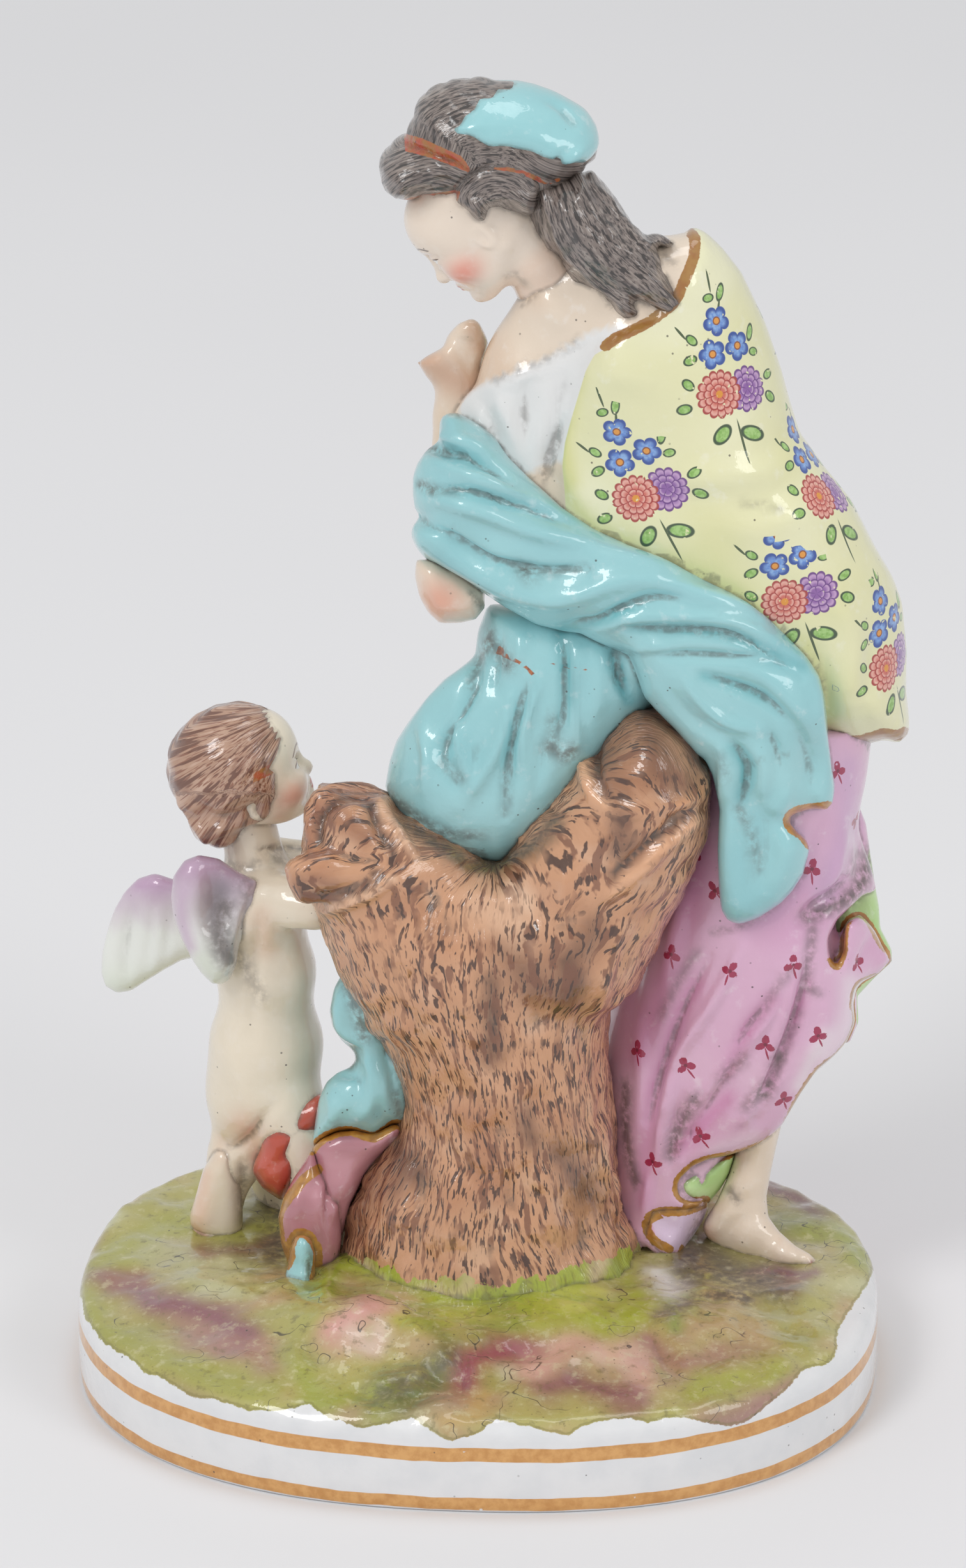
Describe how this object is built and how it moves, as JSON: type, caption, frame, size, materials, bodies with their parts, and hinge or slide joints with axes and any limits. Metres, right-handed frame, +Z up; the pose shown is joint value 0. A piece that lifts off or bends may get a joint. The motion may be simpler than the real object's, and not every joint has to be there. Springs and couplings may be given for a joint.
{
  "type": "porcelain figure group",
  "caption": "Painted porcelain group on an oval mound base: a woman in a flowered coat leans over a forked tree stump towards a kneeling winged child.",
  "frame": {"origin": "centre of the flat oval underside", "axes": "+Z up, +X along the oval towards the woman's standing foot, +Y to the far side, behind the stump"},
  "size_m": [0.1526, 0.1228, 0.2485],
  "materials": {
    "painted_porcelain": "glossy clear glaze over white body, overglaze enamels in turquoise, pale yellow, pink, brown and green, gilt lines"
  },
  "bodies": {
    "root": {"figure_group": "painted_porcelain"}
  },
  "joints": []
}
